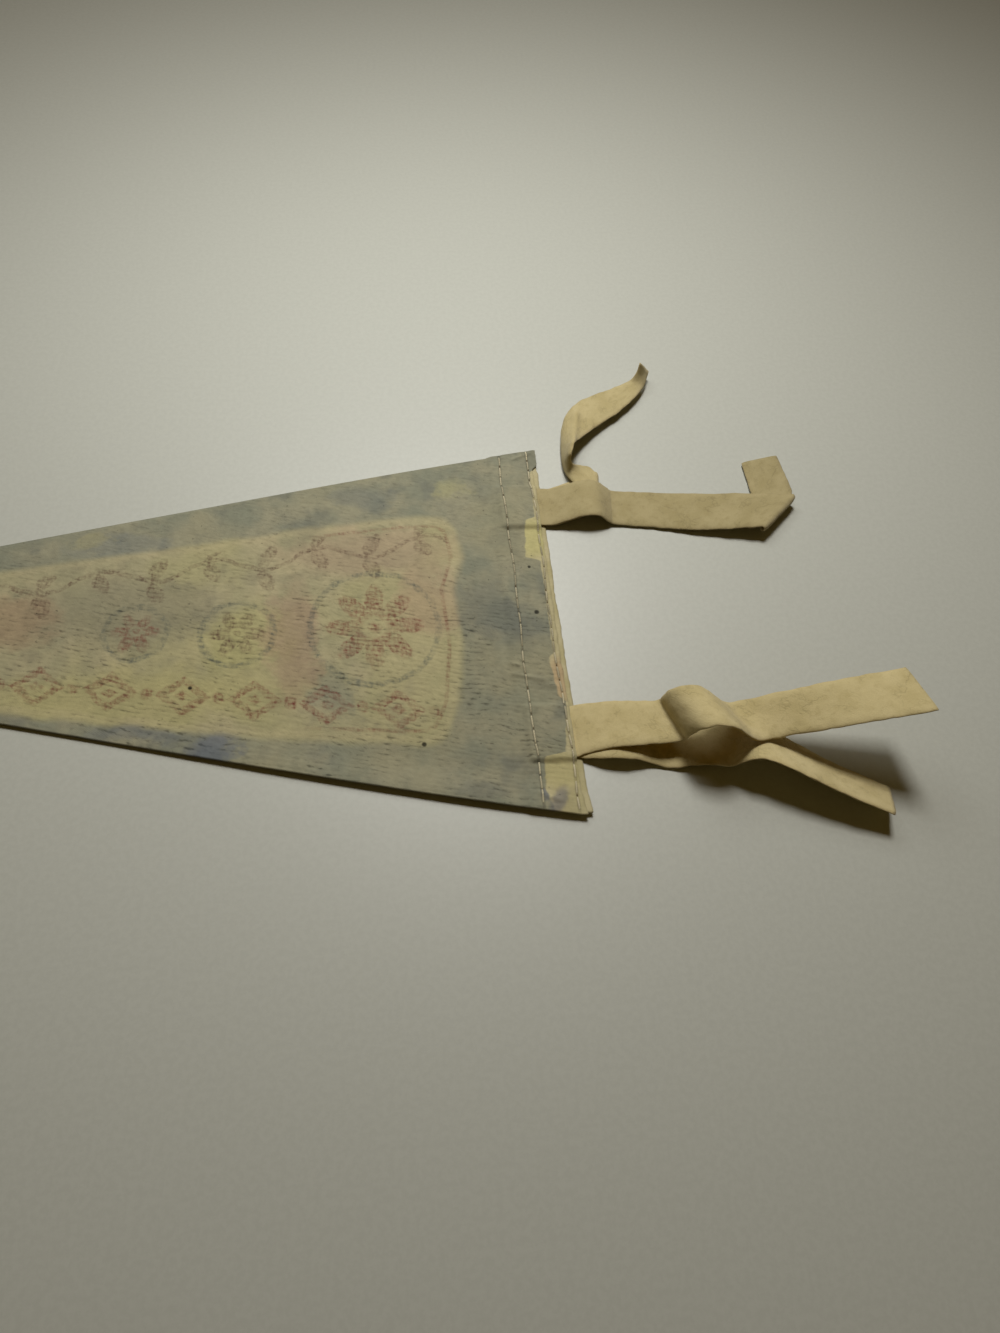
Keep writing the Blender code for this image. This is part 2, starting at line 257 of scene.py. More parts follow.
def relief(points, scale, seed):
    """The same over points in space."""
    return np.array([noise.noise(Vector(point) / scale + Vector((seed, 0, 0))) for point in points]) * 2


# ==== shader nodes

def tone(red, green, blue):
    """A colour given as it looks on a screen, 0 to 255, as linear numbers."""
    out = []
    for level in (red, green, blue):
        level = level / 255.0
        out.append(level / 12.92 if level <= 0.04045 else ((level + 0.055) / 1.055) ** 2.4)
    return (*out, 1.0)


class Paint:
    """Adds shader nodes to one material and hands back their output sockets."""

    def __init__(self, name, roughness, sheen=0.0):
        self.material = bpy.data.materials.new(name)
        self.material.use_nodes = True
        self.tree = self.material.node_tree
        self.shader = self.tree.nodes["Principled BSDF"]
        for label, value in (
            ("Roughness", roughness), ("Specular IOR Level", 0.2),
            ("Sheen Weight", sheen), ("Sheen Roughness", 0.6),
        ):
            self.shader.inputs[label].default_value = value

    def node(self, kind):
        return self.tree.nodes.new("ShaderNode" + kind)

    def feed(self, socket, value):
        if isinstance(value, bpy.types.NodeSocket):
            self.tree.links.new(value, socket)
        else:
            socket.default_value = value

    def math(self, operation, *values):
        node = self.node("Math")
        node.operation = operation
        for socket, value in zip(node.inputs, values):
            self.feed(socket, value)
        return node.outputs[0]

    def joined(self, operation, first, *others):
        """One operation through a list of values, from the left."""
        for value in others:
            first = self.math(operation, first, value)
        return first

    def add(self, *values):
        return self.joined("ADD", *values)

    def take(self, a, b):
        return self.math("SUBTRACT", a, b)

    def times(self, *values):
        return self.joined("MULTIPLY", *values)

    def size(self, a):
        return self.math("ABSOLUTE", a)

    def reach(self, x, y):
        """Length of the line from zero to x, y."""
        return self.math("SQRT", self.add(self.times(x, x), self.times(y, y)))

    def sway(self, level, amount):
        """A level from 0 to 1 as a shift to both sides of zero, amount from end to end."""
        return self.times(self.take(level, 0.5), amount)

    def either(self, *values):
        return self.joined("MAXIMUM", *values)

    def mask(self, value, low, high, top=1.0):
        """0 at low, top at high, with soft ends; low may be the larger of the two."""
        node = self.node("MapRange")
        node.interpolation_type = "SMOOTHSTEP"
        self.feed(node.inputs["Value"], value)
        self.feed(node.inputs["From Min"], low)
        self.feed(node.inputs["From Max"], high)
        node.inputs["To Max"].default_value = top
        return node.outputs["Result"]

    def attribute(self, name):
        node = self.node("Attribute")
        node.attribute_name = name
        return node.outputs["Fac"]

    def vector(self, x, y, z=0.0):
        node = self.node("CombineXYZ")
        for socket, value in zip(node.inputs, (x, y, z)):
            self.feed(socket, value)
        return node.outputs[0]

    def noise(self, vector, size, detail=2.0, roughness=0.5):
        """Noise from 0 to 1, whose blobs are about size across; the place may be x, y, z."""
        node = self.node("TexNoise")
        if isinstance(vector, tuple):
            vector = self.vector(*vector)
        self.feed(node.inputs["Vector"], vector)
        node.inputs["Scale"].default_value = 1.0 / size
        node.inputs["Detail"].default_value = detail
        node.inputs["Roughness"].default_value = roughness
        return node.outputs["Fac"]

    def spot(self, x, y, centre, radii):
        """A soft round patch: 1 in its middle, 0 past its radii."""
        across = self.times(self.take(x, centre[0]), 1 / radii[0])
        along = self.times(self.take(y, centre[1]), 1 / radii[1])
        reach = self.add(self.times(across, across), self.times(along, along))
        return self.mask(reach, 1.0, 0.1)

    def patches(self, colour, x, y, rows):
        """The colour with soft patches over it: centre, radii, strength and colour of each."""
        for centre, radii, strength, hue in rows:
            colour = self.mix(self.times(self.spot(x, y, centre, radii), strength), colour, hue)
        return colour

    def mix(self, factor, a, b):
        node = self.node("Mix")
        node.data_type = "RGBA"
        self.feed(node.inputs[0], factor)
        self.feed(node.inputs[6], a)
        self.feed(node.inputs[7], b)
        return node.outputs[2]

    def shade(self, colour, factor):
        """The colour made darker or lighter by a factor."""
        node = self.node("VectorMath")
        node.operation = "SCALE"
        self.feed(node.inputs[0], colour)
        self.feed(node.inputs["Scale"], factor)
        return node.outputs[0]

    def finish(self, colour, height=None, depth=0.1):
        """Connect the colour, and the bump whose height is in parts of depth millimetres."""
        self.feed(self.shader.inputs["Base Color"], colour)
        if height is not None:
            bump = self.node("Bump")
            bump.inputs["Strength"].default_value = 1.0
            bump.inputs["Distance"].default_value = depth * MM
            self.feed(bump.inputs["Height"], height)
            self.tree.links.new(bump.outputs[0], self.shader.inputs["Normal"])
        return self.material


# ---- the generic design

def lozenges(paint, behind, off_line, pitch, half_length, half_height):
    """A row of diamonds along a line, and the dots between them."""
    cell = paint.times(paint.take(paint.math("FRACT", paint.times(behind, 1 / pitch)), 0.5), pitch)
    across = paint.size(cell)
    height = paint.size(off_line)
    size = paint.add(paint.times(across, 1 / half_length), paint.times(height, 1 / half_height))
    border = paint.times(paint.mask(size, 1.08, 0.92), paint.mask(size, 0.5, 0.64))
    heart = paint.mask(size, 0.36, 0.2)
    corner = paint.take(pitch / 2, across)
    reach = paint.reach(corner, height)
    return paint.either(border, heart, paint.mask(reach, 1.7, 0.9))


def rosette(paint, x, y, centre, radius, petals):
    """A flower of round petals with its eye, and the ring around it."""
    x = paint.take(x, centre[0])
    y = paint.take(y, centre[1])
    reach = paint.reach(x, y)
    turn = paint.math("ARCTAN2", y, x)
    lobes = paint.size(paint.math("COSINE", paint.times(turn, petals / 2)))
    edge = paint.times(paint.add(paint.times(lobes, 0.55), 0.45), radius)
    petal = paint.mask(paint.take(edge, reach), -0.5, 0.8)
    flower = paint.times(petal, paint.mask(reach, radius * 0.2, radius * 0.32))
    eye = paint.mask(reach, radius * 0.17, radius * 0.08)
    ring = paint.mask(paint.size(paint.take(reach, radius * 1.28)), 1.0, 0.4)
    return paint.either(flower, eye), ring


def sprays(paint, behind, off_line, pitch, swing):
    """A waving stem along a line, with a leaf on each side of every bend."""
    wave = paint.times(paint.math("SINE", paint.times(behind, math.tau / pitch)), swing)
    off_stem = paint.take(off_line, wave)
    stem = paint.mask(paint.size(off_stem), 0.9, 0.4)
    half_cell = paint.take(paint.math("FRACT", paint.times(behind, 2 / pitch)), 0.5)
    leaf_line = paint.take(paint.size(off_stem), 3.4)
    slant = paint.add(paint.times(half_cell, pitch / 2), paint.times(leaf_line, 0.35))
    wide = paint.math("POWER", paint.size(paint.times(slant, 1 / 2.0)), 1.5)
    long = paint.math("POWER", paint.size(paint.times(leaf_line, 1 / 3.1)), 2.0)
    return paint.either(stem, paint.mask(paint.add(wide, long), 1.15, 0.75))


def ground_colours(paint, behind, high, field):
    """The faded colours of the border and of the field, without the design."""
    soft = paint.noise((behind, high), 9.0, 3.0)
    broad = paint.noise((behind, high, 7.0), 26.0, 2.0)
    patches = paint.noise((behind, high, 3.0), 7.0, 3.0)
    crumbs = paint.sway(paint.noise((behind, high, 13.0), 2.4, 3.0, 0.65), 7.0)
    torn_x = paint.add(behind, paint.sway(patches, 14.0), crumbs)
    torn_y = paint.add(high, paint.sway(soft, 12.0))
    border = paint.mix(paint.mask(soft, 0.35, 0.68), tone(146, 142, 118), tone(130, 131, 112))
    border = paint.mix(paint.mask(patches, 0.5, 0.72, 0.65), border, tone(112, 113, 101))
    border = paint.mix(paint.mask(broad, 0.5, 0.68, 0.5), border, tone(150, 144, 114))
    border = paint.patches(border, torn_x, torn_y, (
        ((24.2, 37.0), (6.5, 5.5), 0.6, tone(160, 156, 116)),
        ((45.0, 34.0), (10.0, 5.5), 0.45, tone(110, 114, 108)),
        ((17.5, 1.0), (8.0, 9.0), 0.5, tone(108, 110, 100)),
        ((12.0, -3.0), (9.0, 5.5), 0.4, tone(110, 112, 102)),
        ((78.0, -31.4), (8.0, 4.4), 0.65, tone(90, 98, 112)),
        ((96.0, -28.0), (12.0, 3.5), 0.4, tone(102, 108, 112)),
        ((6.5, -46.0), (2.4, 4.2), 0.6, tone(104, 108, 116)),
        ((1.0, 47.0), (3.5, 5.0), 0.8, tone(134, 132, 112)),
        ((103.0, 20.5), (14.0, 4.5), 0.4, tone(112, 118, 116)),
        ((110.0, 22.0), (5.0, 3.5), 0.5, tone(156, 150, 112)),
    ))
    inner = paint.mix(paint.mask(soft, 0.3, 0.7), tone(172, 162, 128), tone(156, 150, 118))
    inner = paint.mix(paint.mask(broad, 0.46, 0.62, 0.5), inner, tone(168, 161, 116))
    inner = paint.mix(paint.mask(patches, 0.5, 0.72, 0.55), inner, tone(134, 128, 104))
    inner = paint.patches(inner, torn_x, torn_y, (
        ((100.0, -20.0), (44.0, 10.0), 0.6, tone(172, 164, 112)),
        ((72.0, -5.0), (13.0, 12.0), 0.5, tone(170, 164, 110)),
        ((100.0, 2.0), (28.0, 13.0), 0.6, tone(130, 126, 104)),
        ((36.0, -8.0), (10.0, 18.0), 0.4, tone(178, 168, 128)),
        ((44.0, 18.0), (28.0, 9.0), 0.5, tone(164, 142, 118)),
        ((30.0, 4.0), (9.0, 12.0), 0.4, tone(168, 138, 116)),
        ((62.0, -6.0), (8.0, 20.0), 0.45, tone(152, 122, 104)),
        ((53.0, -20.0), (6.0, 9.0), 0.5, tone(122, 124, 110)),
        ((128.0, 0.0), (18.0, 8.0), 0.4, tone(150, 116, 92)),
    ))
    inside = paint.add(field, paint.sway(soft, 2.6))
    colour = paint.mix(paint.mask(inside, -1.1, 1.3), border, inner)
    rim = paint.mask(paint.size(paint.take(inside, 1.4)), 1.5, 0.1, 0.22)
    return paint.mix(rim, colour, tone(182, 170, 134))


def design(paint, behind, high, field):
    """Masks of the red, brown and grey parts of the generic design, without any wear."""
    x = paint.add(behind, paint.sway(paint.noise((behind, high), 2.2, 3.0, 0.6), 1.8))
    y = paint.add(high, paint.sway(paint.noise((behind, high, 9.0), 5.0, 2.0), 2.2))
    reach = paint.take(LENGTH, x)
    low_line = paint.add(y, paint.add(paint.times(reach, 0.105), 4.5))
    row = paint.times(lozenges(paint, x, low_line, 15.5, 6.0, 4.9), paint.mask(behind, 176.0, 168.0))
    high_line = paint.take(y, paint.take(paint.times(reach, 0.12), 3.0))
    spray = paint.times(sprays(paint, x, high_line, 25.0, 2.2), paint.mask(behind, 150.0, 144.0))
    flower, ring = rosette(paint, x, y, (43.5, -3.0), 11.5, 8)
    small, small_ring = rosette(paint, x, y, (74.5, -4.0), 6.4, 6)
    far, far_ring = rosette(paint, x, y, (97.0, -3.0), 5.4, 6)
    within = paint.mask(field, 2.6, 4.0)
    outline = paint.mask(paint.size(paint.take(field, 3.0)), 0.7, 0.2)
    outline = paint.times(outline, paint.mask(behind, 62.0, 50.0))
    red = paint.either(paint.times(paint.either(row, flower, far), within), paint.times(outline, 0.7))
    brown = paint.times(paint.either(spray, small), within)
    return red, brown, paint.times(paint.either(ring, small_ring, far_ring), within)


def cloth_material(name, print_strength):
    """Ribbed cotton with a faded print, on attributes in millimetres: behind, the distance
    from the heading's edge; high, y; margin, how far inside the print's edge; field, how far
    inside the field's outline; rib, which counts the ribs; and inner_row and outer_row, the
    distance from each row of stitches."""
    paint = Paint(name, roughness=0.92, sheen=0.05)
    behind, high, margin, field, rib = (
        paint.attribute(label) for label in ("behind", "high", "margin", "field", "rib")
    )
    flat = paint.vector(behind, high)
    colour = ground_colours(paint, behind, high, field)

    # The design, bleeding through and broken by the weave
    ribs = paint.math("COSINE", paint.times(rib, math.tau))
    uneven_ribs = paint.noise((paint.times(behind, 0.5), high, 41.0), 7.0, 3.0)
    uneven_ribs = paint.mask(uneven_ribs, 0.3, 0.62)
    plain = paint.add(paint.times(paint.mask(high, 24.0, -6.0), 0.75), 0.25)
    uneven_ribs = paint.add(paint.times(uneven_ribs, 0.85), 0.15)
    valley = paint.times(paint.mask(ribs, 0.4, -0.9), uneven_ribs, plain)
    along_ribs = paint.vector(paint.times(behind, 0.4), paint.times(rib, RIB_PITCH))
    bleed = paint.mask(paint.noise((behind, high, 5.0), 3.2, 4.0, 0.7), 0.3, 0.66)
    streaks = paint.mask(paint.noise(along_ribs, 0.55, 2.0, 0.6), 0.34, 0.66)
    threads = paint.noise((behind, paint.times(high, 0.35)), 0.7, 2.0)
    threads = paint.mask(threads, 0.4, 0.62)
    darkness = paint.add(paint.times(threads, 0.3), paint.times(valley, 0.3))
    darkness = paint.add(paint.times(streaks, 0.4), darkness)
    strength = paint.times(paint.add(paint.times(bleed, 0.75), 0.25), darkness, print_strength)
    red, brown, grey = design(paint, behind, high, field)
    colour = paint.mix(paint.times(red, strength), colour, tone(112, 56, 48))
    colour = paint.mix(paint.times(brown, strength, 0.95), colour, tone(94, 72, 58))
    colour = paint.mix(paint.times(grey, strength, 0.85), colour, tone(86, 92, 84))

    # Bare cream beside the heading, where the print stops
    uneven = paint.sway(paint.noise(flat, 1.6, 2.0), 0.9)
    bare = paint.mask(paint.add(margin, uneven), 0.25, -0.25)
    cream = paint.mask(paint.noise(flat, 4.0, 2.0), 0.35, 0.65)
    cream = paint.mix(cream, tone(182, 172, 134), tone(172, 162, 124))
    cream = paint.patches(cream, behind, high, (
        ((4.0, 21.0), (6.0, 7.5), 0.9, tone(184, 176, 122)),
        ((2.5, -18.0), (3.0, 7.0), 0.65, tone(182, 154, 118)),
        ((5.0, -40.0), (7.0, 5.0), 0.7, tone(178, 168, 118)),
        ((3.0, -47.0), (4.0, 4.0), 0.5, tone(158, 150, 108)),
    ))
    colour = paint.mix(bare, colour, cream)
    drawn = paint.add(behind, paint.times(high, 0.45))
    drawn = paint.add(drawn, paint.times(uneven, 2.0))
    smudge = (((-14.6, -46.6), (2.3, 4.2), 0.6, tone(100, 100, 108)),)
    colour = paint.patches(colour, drawn, high, smudge)
    corner = (((0.5, 48.0), (3.6, 6.0), 0.5, tone(112, 114, 98)),)
    colour = paint.patches(colour, behind, high, corner)

    # Ribs, painted shade in the rib valleys, real dirt in short broken streaks, specks, and painted shadow
    # beside the rows of stitches
    printed = paint.take(1.0, paint.times(bare, 0.7))
    dashes = paint.mask(paint.noise(along_ribs, 0.8, 2.0, 0.6), 0.46, 0.7)
    where = paint.mask(paint.noise((behind, high, 23.0), 12.0, 4.0, 0.6), 0.3, 0.6)
    dashes = paint.times(dashes, where)
    # Darker in the rib valleys: painted shade, faint everywhere and deeper where the dirt streaks lie; the
    # streaks also darken the rest a little as real dirt
    dirt_and_painted_shade = paint.times(valley, paint.add(paint.times(dashes, 0.46), 0.04))
    dirt_and_painted_shade = paint.add(dirt_and_painted_shade, paint.times(dashes, 0.13))
    specks = paint.noise((behind, high, 31.0), 0.9, 1.0)
    specks = paint.mask(specks, 0.74, 0.82, 0.4)
    for x, y, size in ((5.5, -0.4, 0.75), (33.6, -32.6, 0.7), (83.8, -17.4, 0.6), (5.8, 12.5, 0.5)):
        speck = paint.spot(behind, high, (x, y), (size, size))
        specks = paint.either(specks, paint.times(speck, 0.85))
    dirt_and_painted_shade = paint.add(paint.times(dirt_and_painted_shade, printed), specks)
    # Painted shadow beside both rows of stitches, pulsing along them with the stitch pitch
    along_row = paint.math("COSINE", paint.times(high, math.tau / STITCH_PITCH))
    along_row = paint.add(paint.times(along_row, 0.25), 0.75)
    for row in ("inner_row", "outer_row"):
        beside = paint.size(paint.attribute(row))
        dirt_and_painted_shade = paint.add(dirt_and_painted_shade, paint.times(paint.mask(beside, 0.55, 0.15, 0.34), along_row))
    grain = paint.sway(paint.noise(along_ribs, 0.7, 3.0, 0.7), 0.36)
    blotch = paint.sway(paint.noise(flat, 2.6, 4.0, 0.65), 0.36)
    colour = paint.shade(colour, paint.take(paint.add(grain, blotch, 1.0), dirt_and_painted_shade))

    warp = paint.math("SINE", paint.times(behind, math.tau / WEAVE_PITCH))
    weft = paint.times(paint.math("SINE", paint.times(rib, 4 * math.tau)), warp)
    height = paint.add(paint.times(weft, 0.3), paint.times(paint.noise(flat, 0.7, 3.0, 0.7), 1.1))
    return paint.finish(colour, height, depth=0.08)


def felt_material():
    """Cream felt, on the attributes across and length in millimetres, under (1 where the underside is painted
    a saturated yellow shade, standing in for the warm light bounced inside the lower tie's hump) and tint
    (how bright the whole tie is)."""
    paint = Paint("cream_felt_nap", roughness=0.96, sheen=0.12)
    across = paint.attribute("across")
    length = paint.attribute("length")
    flat = paint.vector(across, length)
    clouds = paint.noise(flat, 7.0, 3.0)
    mottle = paint.noise(flat, 2.2, 4.0, 0.65)
    hairs = paint.noise((paint.times(across, 2.5), length), 0.35, 3.0, 0.7)
    bends = paint.noise((across, length, 4.0), 4.5, 3.0, 0.6)
    wrinkle = paint.mask(paint.size(paint.take(bends, 0.5)), 0.03, 0.0)
    wrinkle = paint.times(wrinkle, paint.mask(clouds, 0.42, 0.6))
    colour = paint.mix(paint.mask(clouds, 0.32, 0.68), tone(192, 177, 131), tone(180, 165, 118))
    colour = paint.mix(paint.mask(mottle, 0.48, 0.74, 0.5), colour, tone(164, 148, 101))
    edge = paint.mask(paint.size(across), TIE_WIDTH / 2 - 1.0, TIE_WIDTH / 2 + 0.3, 0.3)
    colour = paint.mix(edge, colour, tone(166, 146, 102))
    grain = paint.sway(hairs, 0.28)
    # Painted shade: a saturated yellow on the underside, standing in for the warm light bounced inside the
    # lower tie's hump
    colour = paint.mix(paint.attribute("under"), colour, tone(176, 142, 56))
    # Darker along the fine wrinkles: painted shade in the creases; the grain of the hairs is the felt's own
    grain_and_crease_shade = paint.take(paint.add(grain, 1.0), paint.times(wrinkle, 0.13))
    colour = paint.shade(colour, paint.times(grain_and_crease_shade, paint.attribute("tint")))
    height = paint.add(paint.times(mottle, 1.1), paint.times(hairs, 0.6))
    height = paint.take(height, paint.times(wrinkle, 0.25))
    return paint.finish(colour, height, depth=0.15)


def strip_material():
    """Plain cream cotton of the heading strip, gone yellow in places."""
    paint = Paint("heading_cotton", roughness=0.92, sheen=0.08)
    behind = paint.attribute("behind")
    up = paint.attribute("up")
    flat = paint.vector(behind, up)
    colour = paint.mix(paint.mask(paint.noise(flat, 8.0), 0.4, 0.6), tone(184, 174, 136), tone(174, 164, 122))
    threads = paint.math("SINE", paint.times(up, math.tau / WEAVE_PITCH))
    weft = paint.math("SINE", paint.times(behind, math.tau / WEAVE_PITCH))
    weave = paint.times(threads, weft)
    grain = paint.noise(flat, 0.6, 3.0, 0.7)
    colour = paint.shade(colour, paint.add(paint.sway(grain, 0.35), 1.0))
    height = paint.add(paint.times(weave, 0.4), grain)
    return paint.finish(colour, height, depth=0.09)


def thread_material():
    """Ivory sewing thread of two twisted plies, with painted shade in the groove between them, on the
    attributes length, around and a third one, how much darker each stitch is.
    """
    paint = Paint("ivory_thread", roughness=0.7, sheen=0.15)
    length = paint.attribute("length")
    around = paint.attribute("around")
    twist = paint.add(paint.times(length, math.tau / 0.55), paint.times(around, 2 * math.tau))
    ply = paint.math("SINE", twist)
    # Painted shade in the groove between the plies
    groove_shade = paint.mask(ply, -0.4, -1.0, 0.35)
    colour = paint.mix(paint.attribute("darkness"), tone(212, 202, 168), tone(158, 150, 122))
    colour = paint.mix(groove_shade, colour, tone(136, 122, 92))
    return paint.finish(colour, ply, depth=0.05)


def hole_material():
    """Inside of a needle hole, painted dark as the shade in the hole."""
    paint = Paint("needle_hole", roughness=1.0)
    flat = paint.node("TexCoord").outputs["Object"]
    grain = paint.mask(paint.noise(flat, 0.0003), 0.35, 0.65)
    return paint.finish(paint.mix(grain, tone(78, 66, 46), tone(100, 86, 62)))


def table_material():
    """Pale satin table top."""
    paint = Paint("pale_table", roughness=0.45)
    flat = paint.node("TexCoord").outputs["Object"]
    speck = paint.noise(flat, 0.0012, 3.0, 0.7)
    colour = paint.mix(paint.mask(speck, 0.35, 0.65), tone(180, 181, 171), tone(184, 185, 175))
    paint.shader.inputs["Specular IOR Level"].default_value = 0.5
    return paint.finish(colour, speck, depth=0.002)


# ==== meshes

def new_object(name, data):
    made = bpy.data.objects.new(name, data)
    bpy.context.scene.collection.objects.link(made)
    return made


def new_mesh(name, points, faces, materials, attributes=(), face_materials=None):
    """A smooth shaded object from points in the pennant's frame."""
    data = bpy.data.meshes.new(name)
    data.from_pydata(place(points).tolist(), [], faces)
    for material in materials:
        data.materials.append(material)
    if face_materials is not None:
        data.polygons.foreach_set("material_index", face_materials)
    for label, values in attributes:
        layer = data.attributes.new(label, "FLOAT", "POINT")
        layer.data.foreach_set("value", np.asarray(values, np.float32))
    data.shade_smooth()
    data.update()
    return new_object(name, data)


def grid_faces(rows, columns, start=0, flip=False):
    """Four-sided faces of a grid of points numbered row by row."""
    corner = (np.arange(rows - 1)[:, None] * columns + np.arange(columns - 1)).ravel() + start
    faces = np.stack([corner, corner + 1, corner + columns + 1, corner + columns], axis=1)
    return (faces[:, ::-1] if flip else faces).tolist()


def rim_faces(rows, columns, other):
    """Faces that join the borders of two equal grids, the second one starting at other."""
    loop = list(range(columns))
    loop += [row * columns + columns - 1 for row in range(1, rows)]
    loop += [(rows - 1) * columns + column for column in range(columns - 2, -1, -1)]
    loop += [row * columns for row in range(rows - 2, 0, -1)]
    faces = []
    for here, following in zip(loop, loop[1:] + loop[:1]):
        faces.append((following, here, here + other, following + other))
    return faces


def tube_faces(rings, count, start=0, flip=False):
    """Faces between rings of count points, numbered ring by ring from start."""
    faces = []
    for i in range(rings - 1):
        here = start + i * count
        for j in range(count):
            following = (j + 1) % count
            face = (here + j, here + count + j, here + count + following, here + following)
            faces.append(face[:1] + face[:0:-1] if flip else face)
    return faces


def grid_sheet(name, top, bottom, materials, attributes, edge_slot=0):
    """A closed sheet between two grids of points; the materials are top and bottom."""
    rows, columns = top.shape[:2]
    count = rows * columns
    faces = grid_faces(rows, columns) + grid_faces(rows, columns, count, flip=True)
    slots = [0] * (len(faces) // 2) + [len(materials) - 1] * (len(faces) // 2)
    rim = rim_faces(rows, columns, count)
    slots += [edge_slot] * len(rim)
    points = np.concatenate([top.reshape(-1, 3), bottom.reshape(-1, 3)])
    both = [(label, np.tile(np.asarray(values).ravel(), 2)) for label, values in attributes]
    return new_mesh(name, points, faces + rim, materials, both, slots)


# ==== pennant cloth

def by_corner(y):
    """1 at the heading's lower corner, 0 from CORNER_REACH above it."""
    return smooth((HEADING_BOTTOM + CORNER_REACH - y) / CORNER_REACH)


def cloth_start(y):
    """Where the cloth begins: behind the strip's edge, but level with it by the top corner."""
    return heading_x(y) - STRIP_SHOWS * smooth((TOP_COVER + 2.5 - y) / 2.5) + 0.6 * by_corner(y)


def over_roots(behind, y, ramp):
    """1 where the cloth lies over a pair of sewn-in tie ends, 0 beside them."""
    total = 0.0
    for tie_y in (UPPER_TIE_Y, LOWER_TIE_Y):
        beside = smooth((TIE_WIDTH / 2 + ramp - np.abs(y - tie_y)) / ramp)
        total = total + beside * smooth((ROOT_DEPTH + ramp - behind) / ramp)
    return total


def ridge(x, y, start, end, width):
    """A soft crease line from start to end, 1 on the line, fading at its ends."""
    start = np.array(start)
    line = np.array(end) - start
    length = np.linalg.norm(line)
    line = line / length
    along = (x - start[0]) * line[0] + (y - start[1]) * line[1]
    away = (x - start[0]) * -line[1] + (y - start[1]) * line[0]
    return np.exp(-(away / width) ** 2) * smooth((along + 1.0) / 2) * smooth((length + 1.0 - along) / 2)


CREASES = (
    # start, end, width, height
    ((-12.5, -16.5), (-4.5, -18.5), 0.5, 0.35),
    ((-5.0, -19.5), (-2.2, -20.0), 0.45, 0.3),
    ((-13.0, -13.5), (-9.5, -15.0), 0.5, 0.25),
    ((-8.5, 46.5), (-3.0, 49.0), 0.5, 0.3),
    ((-9.0, -44.5), (-4.0, -46.5), 0.6, 0.35),
)


def stitch_row(y, base):
    """Distance of a row of stitches behind the heading's edge, a little unsteady."""
    return base + 0.22 * np.sin(y * 0.11 + base) + 0.12 * np.sin(y * 0.37)


def edge_lift(x, y):
    """How far the lower long edge curls off the table, cloth and strip alike."""
    reach, lift = np.array(EDGE_LIFT).T
    curl = smooth(1.0 - (y - lower_edge(x)) / CURL_WIDTH) ** 1.5
    return np.interp(heading_x(y) - x, reach, lift) * curl


def cloth_height(x, y):
    """Height of the middle of the pennant cloth over the table."""
    behind = heading_x(y) - x
    climb = smooth((STRIP_WIDTH + STRIP_RAMP - behind) / STRIP_RAMP)
    roots = over_roots(behind, y, ROOT_RAMP)
    height = GROUND + CLOTH_THICK / 2 + (STRIP_THICK + 0.04) * climb
    height = height + (2 * ROOT_THICK + 0.15) * roots
    height = height + edge_lift(x, y)
    calm = 1.0 - 0.85 * climb
    waves = 0.5 + 0.5 * np.sin(x * 0.071 + y * 0.045) * np.cos(y * 0.083 - x * 0.021)
    height = height + WAVES * waves * calm
    for start, end, width, size in CREASES:
        height = height + size * ridge(x, y, start, end, width)
    for base in (INNER_ROW, OUTER_ROW):
        away = behind - stitch_row(y, base)
        height = height - 0.16 * np.exp(-(away / 0.55) ** 2)
    return height


def table_at(table, value):
    """Reads a short table of pairs at a value, with straight lines between its rows."""
    keys, values = np.array(table).T
    return np.interp(value, keys, values)


def inside_field(x, y, behind):
    """Distance inside the outline of the printed field, whose corners are rounded."""
    above = table_at(FIELD_TOP, x) - y
    below = y - table_at(FIELD_BOTTOM, x)
    sides = np.stack([above, below, behind - table_at(FIELD_END, y)])
    rounding = 1.3
    return -rounding * np.log(np.exp(-np.clip(sides, -40.0, 40.0) / rounding).sum(axis=0))


